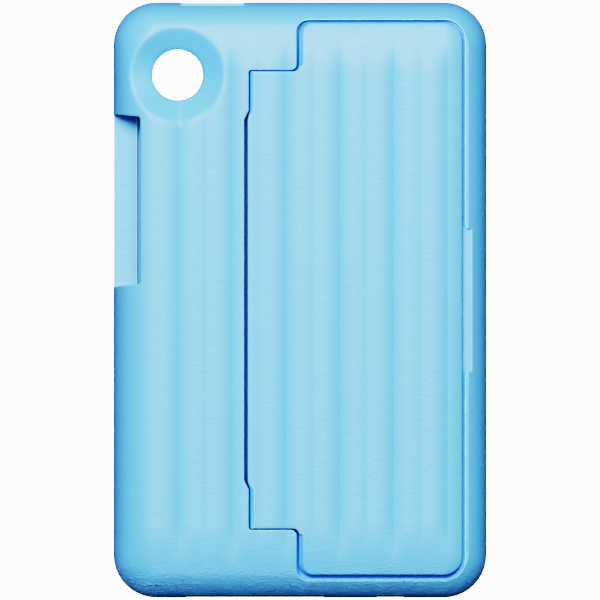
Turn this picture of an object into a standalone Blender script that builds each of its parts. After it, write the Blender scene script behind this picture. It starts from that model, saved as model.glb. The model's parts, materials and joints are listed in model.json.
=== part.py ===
"""A soft moulded tablet case with a flush kickstand in its back.

Metres. The case lies on its front lip: +Z points out of its back, +Y runs up its
long side and +X to the right as its back is looked at. The origin is the centre
of the lip's underside.
"""

import math

import bmesh
import bpy
from mathutils import Matrix, Vector

MM = 0.001
UP, DOWN = 1, -1

# Outside of the case
WIDTH = 143.2 * MM
LENGTH = 228.5 * MM
THICKNESS = 22.0 * MM
CORNER_RADIUS = 16.5 * MM
EDGE_HEIGHT = 6.5 * MM  # height of the widest line round the case
FRONT_ROUND = 3.5 * MM  # how far the front rounding draws the outline in
SIDE_ROUND = 15.5 * MM  # width of the back's rounding along the long sides
END_ROUND = 10.0 * MM  # and along the short ends
SIDE_POWER, END_POWER = 1.6, 1.9  # 2 would be an ellipse; less gives the flatter pillow slope
CROWN_RUN = 29.0 * MM  # the back sinks over this length towards each short end
CROWN_DROP = 6.6 * MM  # by this much at the very edge

# Inside of the shell
TABLET = (124.7 * MM, 211.0 * MM, 8.0 * MM)
TABLET_RADIUS = 6.0 * MM
CAVITY_CLEARANCE = 0.2 * MM
LIP_THICKNESS = 2.8 * MM
LIP_OVERLAP = (3.2 * MM, 3.5 * MM)
SCREEN_RADIUS = 7.0 * MM
LINER_LOW, LINER_THICKNESS = 11.2 * MM, 0.5 * MM
LINER_MARGIN = 4.0 * MM
LINER_CAMERA_GAP = 0.9 * MM
PLATE_LOW, PLATE_THICKNESS = 12.0 * MM, 1.4 * MM
GROOVE_DEPTH = (3.15 * MM, 2.4 * MM)
GROOVE_RADIUS = 8.0 * MM
FLOOR_TOP = 15.8 * MM  # bottom of the recess that holds the kickstand
TROUGH_TOP = 14.7 * MM  # deeper channel below the hinge
TROUGH_RIGHT = -12.0 * MM
GAP = 0.3 * MM  # between pieces that touch

# Camera hole: a straight bore, then a dish that opens onto the back
CAMERA = (-46.85 * MM, 86.6 * MM)
CAMERA_RADIUS = 9.8 * MM
DISH_RADIUS = 18.0 * MM
DISH_OVERRUN = 1.15  # runs the dish's slope a little past its rim
DISH_LOW = 15.0 * MM
DISH_SEGMENTS = 32

# Openings in the wall, as (left, right) or (low, high) along the wall
WALL_CUT_LOW, WALL_CUT_HIGH = 3.8 * MM, 10.9 * MM
BUTTON_NOTCH = (6.2 * MM, 70.0 * MM)
BUTTON_NOTCH_INSET = 10.5 * MM
BUTTON_NOTCH_FLARE = 1.2 * MM
NOTCH_CORNER = 1.2 * MM
TOP_PORT = (-44.6 * MM, -22.7 * MM)
BOTTOM_PORT_LONG = (-41.5 * MM, 8.0 * MM)
BOTTOM_PORT_SHORT = (30.0 * MM, 39.2 * MM)
PORT_FLARE = 1.5 * MM
FINGER_NOTCH = (-27.2 * MM, 27.0 * MM)

# Kickstand outline: a wide panel and a narrower hinge tab on its left
PANEL_LEFT, PANEL_RIGHT = -0.3 * MM, 62.1 * MM
PANEL_LOW, PANEL_HIGH = -105.1 * MM, 106.5 * MM
PANEL_LEFT_RADIUS, PANEL_RIGHT_RADIUS = 4.6 * MM, 7.0 * MM
TAB_LEFT = -19.2 * MM
TAB_HALF_LENGTH = 87.75 * MM
TAB_CORNER, TAB_FILLET = 1.0 * MM, 2.4 * MM
TAB_STEP = 0.8 * MM  # the middle of the tab stands out this much further
TAB_STEP_AT = (68.8 * MM, 72.4 * MM)  # where the step starts and ends from the middle
PANEL_GAP = 0.9 * MM
RECESS_RIGHT_GAP, RECESS_LOW_GAP = 1.2 * MM, 1.8 * MM
TAB_GAP = 0.6 * MM
TAB_STEP_GAP = 1.3 * MM
UNDERSIDE = FLOOR_TOP + 0.5 * MM

# Kickstand core, which the soft cover is moulded over
CORE_INSET = 1.5 * MM
CORE_THICKNESS = 1.5 * MM
CORE_CORNER = 9.0 * MM
CORE_LEFT = -17.2 * MM
BARREL_RADIUS = 2.0 * MM
BARREL_HALF_LENGTH = 86.2 * MM

# Hinge
HINGE_X, HINGE_Z = -16.3 * MM, 19.0 * MM
PIN_RADIUS = 0.75 * MM
PIN_FIT = 0.15 * MM
PIN_START, PIN_END = 47.0 * MM, 95.2 * MM
BUSH_RADIUS = 1.35 * MM
BRACKET_START, BRACKET_END = 89.6 * MM, 95.6 * MM
BRACKET_FOOT = (-24.3 * MM, -8.3 * MM)
BRACKET_FOOT_HIGH = 16.9 * MM
BRACKET_TOWER_HALF = 2.5 * MM
BRACKET_TOP = 20.0 * MM
POCKET_TOP = 20.65 * MM
NOSE_CHAMFER = 1.8 * MM
NOSE_RELIEF = [  # section cut from under the tab's left edge, from the hinge's axis
    (-5.0 * MM, -5.0 * MM), (0.2 * MM, -5.0 * MM), (-1.4 * MM, -2.7 * MM),
    (-2.9 * MM, -0.6 * MM), (-3.7 * MM, 0.4 * MM), (-5.0 * MM, 0.4 * MM),
]

# Screws through the plate into the brackets
SCREW_HEAD_RADIUS, SCREW_RADIUS = 1.9 * MM, 0.8 * MM
SCREW_HEAD_RIM, SCREW_HEAD_HEIGHT = 0.2 * MM, 1.2 * MM
SCREW_TIP = 16.0 * MM
SCREW_AT = (-21.6 * MM, -11.0 * MM)
SCREW_DRIVE = (1.8 * MM, 0.5 * MM, 0.5 * MM)

# Magnets that hold the kickstand shut, one pair at each station along the free edge
MAGNET_SIZE = (5.0 * MM, 20.0 * MM)
MAGNET_X = 53.0 * MM
MAGNET_STATIONS = {"top": 70.0 * MM, "middle": 0.0, "bottom": -70.0 * MM}
SHELL_MAGNET = (13.8 * MM, 14.8 * MM)
KICKSTAND_MAGNET_THICKNESS = 0.8 * MM

ARC_STEPS = 6
ROUND_STEPS = 8
FRONT_STEPS = 4
SMALL_ROUND = 20
BEYOND = 5.0 * MM  # how far a cutter runs past what it cuts
SMOOTH_ANGLE = math.radians(35)

SOFT_BLUE = (0.205, 0.60, 0.82)
COVER_BLUE = (0.22, 0.62, 0.83)
PLATE_BLUE = (0.12, 0.42, 0.68)
FELT_GREY = (0.16, 0.18, 0.20)
CORE_BLUE = (0.16, 0.50, 0.74)
BRACKET_GREY = (0.30, 0.32, 0.34)
BUSH_WHITE = (0.80, 0.79, 0.74)
STEEL = (0.62, 0.62, 0.61)
NICKEL = (0.70, 0.69, 0.66)


# ---------------------------------------------------------------- scene helpers

def clear_scene():
    for old in list(bpy.data.objects):
        bpy.data.objects.remove(old, do_unlink=True)


def new_collection(name):
    collection = bpy.data.collections.new(name)
    bpy.context.scene.collection.children.link(collection)
    return collection


def material(name, colour, roughness, metallic=0.0):
    made = bpy.data.materials.new(name)
    made.use_nodes = True
    shader = made.node_tree.nodes["Principled BSDF"]
    shader.inputs["Base Color"].default_value = (*colour, 1.0)
    shader.inputs["Roughness"].default_value = roughness
    shader.inputs["Metallic"].default_value = metallic
    made.diffuse_color = (*colour, 1.0)
    return made


def add_object(name, mesh, collection):
    made = bpy.data.objects.new(name, mesh)
    collection.objects.link(made)
    return made


def add_bmesh(name, shape, collection):
    bmesh.ops.recalc_face_normals(shape, faces=shape.faces)
    mesh = bpy.data.meshes.new(name)
    shape.to_mesh(mesh)
    shape.free()
    return add_object(name, mesh, collection)


def finish(piece, look, smooth=True):
    """Give a finished piece its material and, where it is round, smooth shading."""
    piece.data.materials.clear()
    piece.data.materials.append(look)
    if smooth:
        piece.data.shade_smooth()
        piece.data.set_sharp_from_angle(angle=SMOOTH_ANGLE)


def as_cutter(piece):
    piece.hide_render = True
    piece.display_type = "WIRE"
    return piece


def combine(target, other, operation):
    joined = target.modifiers.new(operation.lower(), "BOOLEAN")
    joined.operation = operation
    joined.object = other
    joined.solver = "EXACT"


def cut(target, *tools):
    for tool in tools:
        combine(target, as_cutter(tool), "DIFFERENCE")


def join(target, *tools):
    for tool in tools:
        combine(target, as_cutter(tool), "UNION")


# --------------------------------------------------------------- plain shapes

def box(name, low, high, collection):
    size = [b - a for a, b in zip(low, high)]
    centre = [(a + b) / 2 for a, b in zip(low, high)]
    shape = bmesh.new()
    bmesh.ops.create_cube(shape, size=1.0)
    bmesh.ops.scale(shape, vec=size, verts=shape.verts)
    bmesh.ops.translate(shape, vec=centre, verts=shape.verts)
    return add_bmesh(name, shape, collection)


def rod(name, radius, centre, low, high, axis, collection):
    """A cylinder along Y or Z from low to high, through centre."""
    shape = bmesh.new()
    bmesh.ops.create_cone(
        shape, cap_ends=True, segments=SMALL_ROUND,
        radius1=radius, radius2=radius, depth=high - low,
    )
    if axis == "Y":
        bmesh.ops.rotate(shape, matrix=Matrix.Rotation(math.pi / 2, 3, "X"), verts=shape.verts)
        middle = (centre[0], (low + high) / 2, centre[1])
    else:
        middle = (centre[0], centre[1], (low + high) / 2)
    bmesh.ops.translate(shape, vec=middle, verts=shape.verts)
    return add_bmesh(name, shape, collection)


def rounded(corners):
    """Points of a closed outline whose corners (x, y, radius) are arcs tangent to both sides."""
    points = []
    for index, (x, y, radius) in enumerate(corners):
        corner = Vector((x, y))
        if radius == 0:
            points.append(corner)
            continue
        back = (Vector(corners[index - 1][:2]) - corner).normalized()
        ahead = (Vector(corners[(index + 1) % len(corners)][:2]) - corner).normalized()
        half = back.angle(ahead) / 2
        centre = corner + (back + ahead).normalized() * (radius / math.sin(half))
        start = corner + back * (radius / math.tan(half)) - centre
        turn = start.angle_signed(corner + ahead * (radius / math.tan(half)) - centre)
        for step in range(ARC_STEPS + 1):
            spun = start.copy()
            spun.rotate(Matrix.Rotation(-turn * step / ARC_STEPS, 2))
            points.append(centre + spun)
    return points


def rectangle(left, right, low, high, radius):
    return rounded([(left, low, radius), (right, low, radius), (right, high, radius), (left, high, radius)])


def prism(name, outline, low, high, collection, along="Z"):
    """A flat outline given thickness from low to high; along Y, the outline is read as (x, z)."""
    curve = bpy.data.curves.new(name, "CURVE")
    curve.dimensions = "2D"
    curve.fill_mode = "BOTH"
    curve.extrude = (high - low) / 2
    spline = curve.splines.new("POLY")
    spline.points.add(len(outline) - 1)
    for point, (x, y) in zip(spline.points, outline):
        point.co = (x, y, 0.0, 1.0)
    spline.use_cyclic_u = True
    drawn = add_object(name + "_outline", curve, collection)
    place = Matrix.Translation((0, 0, (low + high) / 2))
    if along == "Y":
        place = Matrix.Rotation(math.pi / 2, 4, "X") @ Matrix.Translation((0, 0, -(low + high) / 2))
    bpy.context.view_layer.update()
    solid = bpy.data.meshes.new_from_object(drawn.evaluated_get(bpy.context.evaluated_depsgraph_get()))
    bpy.data.objects.remove(drawn, do_unlink=True)
    shape = bmesh.new()
    shape.from_mesh(solid)
    bpy.data.meshes.remove(solid)
    bmesh.ops.remove_doubles(shape, verts=shape.verts, dist=0.001 * MM)
    shape.transform(place)
    return add_bmesh(name, shape, collection)


def turned(name, profile, centre, collection):
    """A solid of revolution about the vertical through centre, from (radius, z) top to bottom."""
    mesh = bpy.data.meshes.new(name)
    mesh.from_pydata([(r, 0, z) for r, z in profile], [(i, i + 1) for i in range(len(profile) - 1)], [])
    made = add_object(name, mesh, collection)
    made.location = (*centre, 0)
    spin = made.modifiers.new("turn", "SCREW")
    spin.steps = SMALL_ROUND
    spin.render_steps = SMALL_ROUND
    spin.use_merge_vertices = True
    spin.merge_threshold = 0.01 * MM
    spin.use_smooth_shade = True
    return made


# ------------------------------------------------------- the pillow-like outside

def crown(y):
    """How far the back has sunk at y, towards a short end."""
    into = max(0.0, abs(y) - (LENGTH / 2 - CROWN_RUN))
    return CROWN_DROP * (into / CROWN_RUN) ** 2


def loop_points(inset_x, inset_y):
    """One loop round the case, drawn in by inset_x at the sides and inset_y at the ends."""
    centre_x, centre_y = WIDTH / 2 - CORNER_RADIUS, LENGTH / 2 - CORNER_RADIUS
    radius_x, radius_y = CORNER_RADIUS - inset_x, CORNER_RADIUS - inset_y
    stations = [centre_y, (centre_y + LENGTH / 2 - CROWN_RUN) / 2, LENGTH / 2 - CROWN_RUN]
    right = []
    for step in range(ARC_STEPS + 1):
        angle = math.pi / 2 * step / ARC_STEPS
        right.append((centre_x + radius_x * math.sin(angle), centre_y + radius_y * math.cos(angle)))
    right += [(centre_x + radius_x, y) for y in stations[1:]]
    right += [(x, -y) for x, y in reversed(right)]
    return right, [(-x, y) for x, y in reversed(right)]


def round_insets(rise):
    """How far in from the sides and from the ends the back's rounding is at a share of its rise."""
    side = max(0.0, 1 - rise ** SIDE_POWER) ** (1 / SIDE_POWER)
    end = max(0.0, 1 - rise ** END_POWER) ** (1 / END_POWER)
    return SIDE_ROUND * (1 - side), END_ROUND * (1 - end)


def back_height(x, y):
    """Height of the back at a point, by halving the range of the rounding's rise."""
    beyond_x = max(0.0, abs(x) - (WIDTH / 2 - CORNER_RADIUS))
    beyond_y = max(0.0, abs(y) - (LENGTH / 2 - CORNER_RADIUS))
    low, high = 0.0, 1.0
    for _ in range(30):
        rise = (low + high) / 2
        inset_x, inset_y = round_insets(rise)
        reach_x, reach_y = CORNER_RADIUS - inset_x, CORNER_RADIUS - inset_y
        if (beyond_x / reach_x) ** 2 + (beyond_y / reach_y) ** 2 > 1:
            high = rise
        else:
            low = rise
    return EDGE_HEIGHT + low * (THICKNESS - EDGE_HEIGHT - crown(y))


def pillow(name, collection):
    """The case's solid outside: loops lofted from the front face, round the edge, to the back."""
    shape = bmesh.new()
    loops = []
    for step in range(FRONT_STEPS):
        angle = math.pi / 2 * step / FRONT_STEPS
        inset = FRONT_ROUND * (1 - math.sin(angle))
        height = EDGE_HEIGHT * (1 - math.cos(angle))
        right, left = loop_points(inset, inset)
        loops.append([shape.verts.new((x, y, height)) for x, y in right + left])
    for step in range(ROUND_STEPS + 1):
        rise = math.sin(math.pi / 2 * step / ROUND_STEPS) ** (2 / SIDE_POWER)
        right, left = loop_points(*round_insets(rise))
        top = THICKNESS - EDGE_HEIGHT
        loops.append([
            shape.verts.new((x, y, EDGE_HEIGHT + rise * (top - crown(y)))) for x, y in right + left
        ])
    count = len(loops[0])
    for lower, upper in zip(loops, loops[1:]):
        for index in range(count):
            after = (index + 1) % count
            shape.faces.new((lower[index], lower[after], upper[after], upper[index]))
    shape.faces.new(loops[0])
    last = loops[-1]
    for index in range(count // 2 - 1):
        shape.faces.new((last[index], last[index + 1], last[count - 2 - index], last[count - 1 - index]))
    return add_bmesh(name, shape, collection)


# ------------------------------------------------------------ kickstand outline

def kickstand_outline(grow=0.0, right=0.0, low=0.0, tab=0.0, step=0.0, corner=PANEL_RIGHT_RADIUS):
    """The panel with its hinge tab; the arguments move its sides out to draw the recess."""
    left_edge = PANEL_LEFT - grow
    right_edge = PANEL_RIGHT + max(grow, right)
    low_edge = PANEL_LOW - max(grow, low)
    high_edge = PANEL_HIGH + grow
    tab_end = TAB_HALF_LENGTH + tab
    tab_left = TAB_LEFT - tab
    step_left = TAB_LEFT - TAB_STEP - max(tab, step)
    inner, outer = TAB_STEP_AT
    return rounded([
        (left_edge, low_edge, PANEL_LEFT_RADIUS),
        (right_edge, low_edge, corner),
        (right_edge, high_edge, corner),
        (left_edge, high_edge, PANEL_LEFT_RADIUS),
        (left_edge, tab_end, TAB_FILLET),
        (tab_left, tab_end, TAB_CORNER),
        (tab_left, outer, 0),
        (step_left, inner, 0),
        (step_left, -inner, 0),
        (tab_left, -outer, 0),
        (tab_left, -tab_end, TAB_CORNER),
        (left_edge, -tab_end, TAB_FILLET),
    ])


def core_outline(grow):
    """Outline of the rigid core inside the cover, or with grow the space that holds it."""
    inset = CORE_INSET - grow
    tab_end = TAB_HALF_LENGTH - inset
    left, right = PANEL_LEFT + inset, PANEL_RIGHT - inset
    low, high = PANEL_LOW + inset, PANEL_HIGH - inset
    return rounded([
        (left, low, PANEL_LEFT_RADIUS), (right, low, CORE_CORNER),
        (right, high, CORE_CORNER), (left, high, PANEL_LEFT_RADIUS),
        (left, tab_end, 0), (CORE_LEFT - grow, tab_end, 0),
        (CORE_LEFT - grow, -tab_end, 0), (left, -tab_end, 0),
    ])


# ----------------------------------------------------------------- outer shell

def wall_cut(name, span, inner, outer, flare, collection, low_flare=None):
    """A flared opening through a short end wall, wider at the outside."""
    first_flare = flare if low_flare is None else low_flare
    outline = [
        (span[0], inner), (span[1], inner), (span[1] + flare, outer), (span[0] - first_flare, outer),
    ]
    return prism(name, outline, WALL_CUT_LOW, WALL_CUT_HIGH, collection)


def button_notch(name, grow, low, collection):
    """Open-backed notch in the left wall, flared outwards."""
    outer = -WIDTH / 2 - BEYOND
    inner = -WIDTH / 2 + BUTTON_NOTCH_INSET + grow
    bottom, top = BUTTON_NOTCH[0] - grow, BUTTON_NOTCH[1] + grow
    flare = BUTTON_NOTCH_FLARE * (1 + BEYOND / BUTTON_NOTCH_INSET)
    outline = rounded([
        (outer, bottom - flare, 0), (inner, bottom, NOTCH_CORNER),
        (inner, top, NOTCH_CORNER), (outer, top + flare, 0),
    ])
    return prism(name, outline, low, THICKNESS + BEYOND, collection)


def camera_dish(name, collection):
    """The cutter of the camera hole's dish: its slope runs to the back's height at its rim."""
    shape = bmesh.new()
    rings = [[], [], [], []]
    for index in range(DISH_SEGMENTS):
        angle = 2 * math.pi * index / DISH_SEGMENTS
        across, along = math.cos(angle), math.sin(angle)
        rim = back_height(CAMERA[0] + DISH_RADIUS * across, CAMERA[1] + DISH_RADIUS * along)
        far = CAMERA_RADIUS + (DISH_RADIUS - CAMERA_RADIUS) * DISH_OVERRUN
        far_height = DISH_LOW + (rim - DISH_LOW) * DISH_OVERRUN
        heights = (PLATE_LOW, DISH_LOW, far_height, THICKNESS + BEYOND)
        for ring, radius, z in zip(rings, (CAMERA_RADIUS, CAMERA_RADIUS, far, far), heights):
            ring.append(shape.verts.new((CAMERA[0] + radius * across, CAMERA[1] + radius * along, z)))
    for lower, upper in zip(rings, rings[1:]):
        for index in range(DISH_SEGMENTS):
            after = (index + 1) % DISH_SEGMENTS
            shape.faces.new((lower[index], lower[after], upper[after], upper[index]))
    shape.faces.new(rings[0])
    shape.faces.new(rings[-1])
    return add_bmesh(name, shape, collection)


def hinge_pocket(name, side, collection):
    """Room behind the skin for one hinge bracket, with the hole its pin comes through."""
    low, high = sorted((side * (BRACKET_START - GAP), side * (BRACKET_END + GAP)))
    foot = box(
        name + "_foot", (BRACKET_FOOT[0] - GAP, low, PLATE_LOW),
        (BRACKET_FOOT[1] + GAP, high, BRACKET_FOOT_HIGH + GAP), collection,
    )
    half = BRACKET_TOWER_HALF + GAP
    tower = box(
        name + "_tower", (HINGE_X - half, low, PLATE_LOW), (HINGE_X + half, high, POCKET_TOP), collection,
    )
    ends = sorted((side * TAB_HALF_LENGTH, side * BRACKET_END))
    hole = rod(name + "_hole", BUSH_RADIUS, (HINGE_X, HINGE_Z), *ends, "Y", collection)
    return foot, tower, hole


def outer_shell(parts, cutters, look):
    shell = pillow("outer_shell", parts)
    half_x = TABLET[0] / 2 + CAVITY_CLEARANCE
    half_y = TABLET[1] / 2 + CAVITY_CLEARANCE
    open_x, open_y = half_x - LIP_OVERLAP[0], half_y - LIP_OVERLAP[1]
    groove_x, groove_y = half_x + GROOVE_DEPTH[0], half_y + GROOVE_DEPTH[1]
    groove = (PLATE_LOW - GAP, PLATE_LOW + PLATE_THICKNESS + GAP)
    end_inner, end_outer = TABLET[1] / 2 - BEYOND, LENGTH / 2 + BEYOND
    cut(
        shell,
        prism("cut_screen", rectangle(-open_x, open_x, -open_y, open_y, SCREEN_RADIUS),
              -BEYOND, LIP_THICKNESS + GAP, cutters),
        prism("cut_cavity", rectangle(-half_x, half_x, -half_y, half_y, TABLET_RADIUS),
              LIP_THICKNESS, PLATE_LOW, cutters),
        prism("cut_groove", rectangle(-groove_x, groove_x, -groove_y, groove_y, GROOVE_RADIUS),
              *groove, cutters),
        camera_dish("cut_camera", cutters),
        button_notch("cut_buttons", 0.0, WALL_CUT_LOW, cutters),
        wall_cut("cut_top_port", TOP_PORT, end_inner, end_outer, PORT_FLARE, cutters),
        wall_cut("cut_long_port", BOTTOM_PORT_LONG, -end_inner, -end_outer, PORT_FLARE, cutters,
                 low_flare=2 * PORT_FLARE),
        wall_cut("cut_short_port", BOTTOM_PORT_SHORT, -end_inner, -end_outer, PORT_FLARE / 2, cutters),
        prism("cut_recess",
              kickstand_outline(PANEL_GAP, RECESS_RIGHT_GAP, RECESS_LOW_GAP, TAB_GAP, TAB_STEP_GAP),
              FLOOR_TOP, THICKNESS + BEYOND, cutters),
        hinge_trough(cutters),
        box("cut_finger", (PANEL_RIGHT, FINGER_NOTCH[0], FLOOR_TOP),
            (WIDTH / 2 + BEYOND, FINGER_NOTCH[1], THICKNESS + BEYOND), cutters),
    )
    for name, side in (("cut_hinge_top", UP), ("cut_hinge_bottom", DOWN)):
        cut(shell, *hinge_pocket(name, side, cutters))
    for station, y in MAGNET_STATIONS.items():
        cut(shell, magnet_block("cut_magnet_" + station, y, PLATE_LOW, SHELL_MAGNET[1] + GAP, GAP, cutters))
    finish(shell, look)


def hinge_trough(collection):
    """Channel below the hinge that the tab's nose swings through."""
    left, inner = TAB_LEFT - TAB_GAP, TAB_STEP_AT[0]
    step_left = TAB_LEFT - TAB_STEP - TAB_STEP_GAP
    end = TAB_HALF_LENGTH + TAB_GAP
    outline = [
        (left, -end), (TROUGH_RIGHT, -end), (TROUGH_RIGHT, end), (left, end),
        (left, TAB_STEP_AT[1]), (step_left, inner), (step_left, -inner), (left, -TAB_STEP_AT[1]),
    ]
    return prism("cut_trough", outline, TROUGH_TOP, FLOOR_TOP + GAP, collection)


def magnet_block(name, y, low, high, grow, collection):
    half_x, half_y = MAGNET_SIZE[0] / 2 + grow, MAGNET_SIZE[1] / 2 + grow
    return box(name, (MAGNET_X - half_x, y - half_y, low), (MAGNET_X + half_x, y + half_y, high), collection)


# ------------------------------------------------------- pieces inside the shell

def screw_profile(grow):
    """Countersunk screw from its tip down to its head, as (radius, z)."""
    head_low = PLATE_LOW + GAP / 2
    cone_top = head_low + SCREW_HEAD_HEIGHT + grow
    return [
        (0.0, SCREW_TIP + grow),
        (SCREW_RADIUS + grow, SCREW_TIP + grow),
        (SCREW_RADIUS + grow, cone_top),
        (SCREW_HEAD_RADIUS + grow, head_low + SCREW_HEAD_RIM),
        (SCREW_HEAD_RADIUS + grow, head_low - grow),
        (0.0, head_low - grow),
    ]


def screw_places():
    middle = (BRACKET_START + BRACKET_END) / 2
    return {
        "bracket_screw_top_left": (SCREW_AT[0], middle),
        "bracket_screw_top_right": (SCREW_AT[1], middle),
        "bracket_screw_bottom_left": (SCREW_AT[0], -middle),
        "bracket_screw_bottom_right": (SCREW_AT[1], -middle),
    }


def bracket_screws(parts, cutters, look):
    for name, (x, y) in screw_places().items():
        screw = turned(name, screw_profile(0.0), (x, y), parts)
        half_long, half_wide, depth = SCREW_DRIVE[0] / 2, SCREW_DRIVE[1] / 2, SCREW_DRIVE[2]
        low, high = PLATE_LOW - GAP, PLATE_LOW + GAP / 2 + depth
        for turn, (wide, long) in enumerate(((half_long, half_wide), (half_wide, half_long))):
            slot = box(f"cut_{name}_{turn}", (x - wide, y - long, low), (x + wide, y + long, high), cutters)
            cut(screw, slot)
        screw.data.materials.append(look)


def inner_plate(parts, cutters, look):
    half_x = TABLET[0] / 2 + CAVITY_CLEARANCE + GROOVE_DEPTH[0] - GAP
    half_y = TABLET[1] / 2 + CAVITY_CLEARANCE + GROOVE_DEPTH[1] - GAP
    high = PLATE_LOW + PLATE_THICKNESS
    plate = prism("inner_plate", rectangle(-half_x, half_x, -half_y, half_y, GROOVE_RADIUS - GAP),
                  PLATE_LOW, high, parts)
    cut(
        plate,
        rod("cut_plate_camera", CAMERA_RADIUS + 2 * GAP, CAMERA, PLATE_LOW - GAP, high + GAP, "Z", cutters),
        button_notch("cut_plate_buttons", 2 * GAP, PLATE_LOW - GAP, cutters),
    )
    for name, place in screw_places().items():
        cut(plate, turned("cut_hole_" + name, screw_profile(GAP), place, cutters))
    finish(plate, look)


def back_liner(parts, cutters, look):
    half_x, half_y = TABLET[0] / 2 - LINER_MARGIN, TABLET[1] / 2 - LINER_MARGIN
    high = LINER_LOW + LINER_THICKNESS
    outline = rectangle(-half_x, half_x, -half_y, half_y, TABLET_RADIUS)
    liner = prism("back_liner", outline, LINER_LOW, high, parts)
    radius = CAMERA_RADIUS + LINER_CAMERA_GAP
    cut(liner, rod("cut_liner_camera", radius, CAMERA, LINER_LOW - GAP, high + GAP, "Z", cutters))
    finish(liner, look)


def hinge_bracket(name, side, parts, cutters, look):
    """Foot screwed to the plate and a tower with an open saddle for the bush."""
    low, high = sorted((side * BRACKET_START, side * BRACKET_END))
    foot_low = PLATE_LOW + PLATE_THICKNESS + GAP
    bracket = box(name, (BRACKET_FOOT[0], low, foot_low), (BRACKET_FOOT[1], high, BRACKET_FOOT_HIGH), parts)
    half = BRACKET_TOWER_HALF
    join(bracket, box(name + "_tower", (HINGE_X - half, low, BRACKET_FOOT_HIGH - GAP),
                      (HINGE_X + half, high, BRACKET_TOP), cutters))
    saddle = BUSH_RADIUS + PIN_FIT
    cut(
        bracket,
        rod(name + "_saddle", saddle, (HINGE_X, HINGE_Z), low - GAP, high + GAP, "Y", cutters),
        box(name + "_mouth", (HINGE_X - saddle, low - GAP, HINGE_Z),
            (HINGE_X + saddle, high + GAP, BRACKET_TOP + GAP), cutters),
    )
    middle = (low + high) / 2
    for index, x in enumerate(SCREW_AT):
        ends = (foot_low - GAP, SCREW_TIP + GAP)
        cut(bracket, rod(f"{name}_hole_{index}", SCREW_RADIUS + GAP, (x, middle), *ends, "Z", cutters))
    finish(bracket, look)


def friction_bush(name, side, parts, cutters, look):
    low, high = sorted((side * (BRACKET_START + PIN_FIT), side * (BRACKET_END - PIN_FIT)))
    bush = rod(name, BUSH_RADIUS, (HINGE_X, HINGE_Z), low, high, "Y", parts)
    bore = PIN_RADIUS + PIN_FIT
    cut(bush, rod(name + "_bore", bore, (HINGE_X, HINGE_Z), low - GAP, high + GAP, "Y", cutters))
    finish(bush, look)


# ------------------------------------------------------------------- kickstand

def on_hinge(piece):
    """Move a piece's origin onto the hinge's axis and leave its shape where it is."""
    piece.data.transform(Matrix.Translation((-HINGE_X, 0, -HINGE_Z)))
    piece.location = (HINGE_X, 0, HINGE_Z)
    return piece


def kickstand_cover(parts, cutters, look):
    """The soft skin: the case's outside within the kickstand's outline, hollow for the core."""
    cover = on_hinge(pillow("kickstand_cover", parts))
    blank = prism("keep_cover", kickstand_outline(), UNDERSIDE, THICKNESS + BEYOND, cutters)
    combine(cover, as_cutter(blank), "INTERSECT")
    edge = TAB_LEFT - HINGE_X
    top = THICKNESS - HINGE_Z
    nose_high = [
        (edge - BEYOND, top - NOSE_CHAMFER - BEYOND), (edge + NOSE_CHAMFER + BEYOND, top + BEYOND),
        (edge - BEYOND, top + BEYOND),
    ]
    half = BARREL_HALF_LENGTH + GAP
    reach = LENGTH / 2
    cut(
        cover,
        prism("cut_core", core_outline(GAP), UNDERSIDE - BEYOND, UNDERSIDE + CORE_THICKNESS + GAP, cutters),
        rod("cut_barrel", BARREL_RADIUS + GAP, (HINGE_X, HINGE_Z), -half, half, "Y", cutters),
        rod("cut_pins", BUSH_RADIUS, (HINGE_X, HINGE_Z), -reach, reach, "Y", cutters),
        prism("cut_nose_low", [(HINGE_X + x, HINGE_Z + z) for x, z in NOSE_RELIEF],
              -reach, reach, cutters, along="Y"),
        prism("cut_nose_high", [(HINGE_X + x, HINGE_Z + z) for x, z in nose_high],
              -reach, reach, cutters, along="Y"),
    )
    finish(cover, look)


def kickstand_core(parts, cutters, look):
    """Rigid plate with the hinge barrel along its tab and pockets for the magnets."""
    high = UNDERSIDE + CORE_THICKNESS
    core = on_hinge(prism("kickstand_core", core_outline(0.0), UNDERSIDE, high, parts))
    axis = (HINGE_X, HINGE_Z)
    half = BARREL_HALF_LENGTH
    join(core, rod("join_barrel", BARREL_RADIUS, axis, -half, half, "Y", cutters))
    cut(core, rod("cut_bore", PIN_RADIUS + PIN_FIT, axis, -LENGTH / 2, LENGTH / 2, "Y", cutters))
    pocket_high = UNDERSIDE + KICKSTAND_MAGNET_THICKNESS + GAP
    for station, y in MAGNET_STATIONS.items():
        cut(core, magnet_block("cut_core_" + station, y, UNDERSIDE - GAP, pocket_high, GAP, cutters))
    finish(core, look)


def hinge_pin(name, side, parts, look):
    low, high = sorted((side * PIN_START, side * PIN_END))
    pin = on_hinge(rod(name, PIN_RADIUS, (HINGE_X, HINGE_Z), low, high, "Y", parts))
    finish(pin, look)


def magnets(parts, look):
    for station, y in MAGNET_STATIONS.items():
        fixed = magnet_block("shell_magnet_" + station, y, *SHELL_MAGNET, 0.0, parts)
        finish(fixed, look, smooth=False)
        high = UNDERSIDE + KICKSTAND_MAGNET_THICKNESS
        moving = magnet_block("kickstand_magnet_" + station, y, UNDERSIDE, high, 0.0, parts)
        finish(on_hinge(moving), look, smooth=False)


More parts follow.
